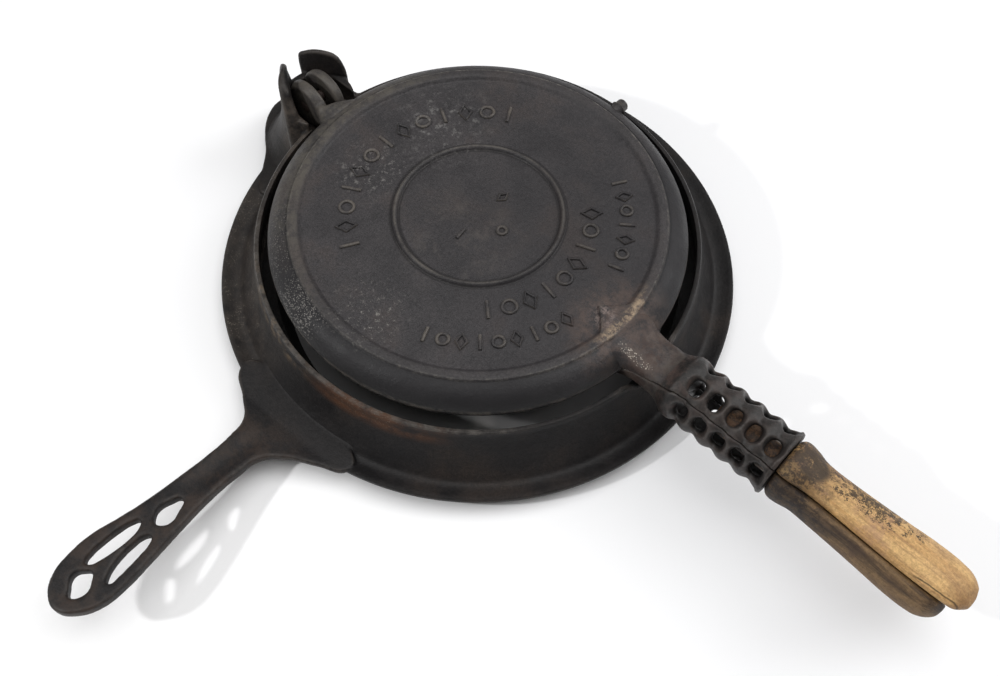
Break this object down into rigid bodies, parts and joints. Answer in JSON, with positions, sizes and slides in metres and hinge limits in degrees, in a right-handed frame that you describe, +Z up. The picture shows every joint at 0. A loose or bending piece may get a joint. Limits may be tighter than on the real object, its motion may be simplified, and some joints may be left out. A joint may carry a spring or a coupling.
{
  "type": "stovetop waffle iron",
  "caption": "Round cast-iron waffle iron whose hinged plates turn over in a low stove ring with a pierced side handle; split wooden grips on a vented cage.",
  "frame": {"origin": "middle of the overall box, on the surface that the foot ring stands on", "axes": "+X from the plates' hinge to the wooden grips, along the turning axis; +Z up; the side handle points towards -Y"},
  "size_m": [0.4594, 0.4116, 0.0647],
  "materials": {
    "base_iron": "seasoned, dull black with rust-brown tints",
    "plate_iron": "seasoned, satin dark grey, worn at the edges",
    "tan_wood": "worn bare wood, charred near the iron",
    "dark_wood": "charred and darkened wood",
    "steel": "dull, darkened"
  },
  "bodies": {
    "base": {"base_stand": "base_iron"},
    "lower_half": {"lower_plate": "plate_iron", "hinge_pin": "steel", "lower_grip": "dark_wood", "lower_grip_screw": "steel", "lower_screw_washer": "steel"},
    "upper_half": {"upper_plate": "plate_iron", "upper_grip": "tan_wood", "upper_grip_screw": "steel", "upper_screw_washer": "steel"}
  },
  "joints": [
    {"name": "turn_over", "type": "hinge", "parent": "base", "child": "lower_half", "pos_m": [-0.0627, 0.06564, 0.045], "axis": [1, 0, 0], "range_deg": [0, 360]},
    {"name": "lid_open", "type": "hinge", "parent": "lower_half", "child": "upper_half", "pos_m": [-0.1887, 0.06564, 0.045], "axis": [0, -1, 0], "range_deg": [0, 90]}
  ]
}
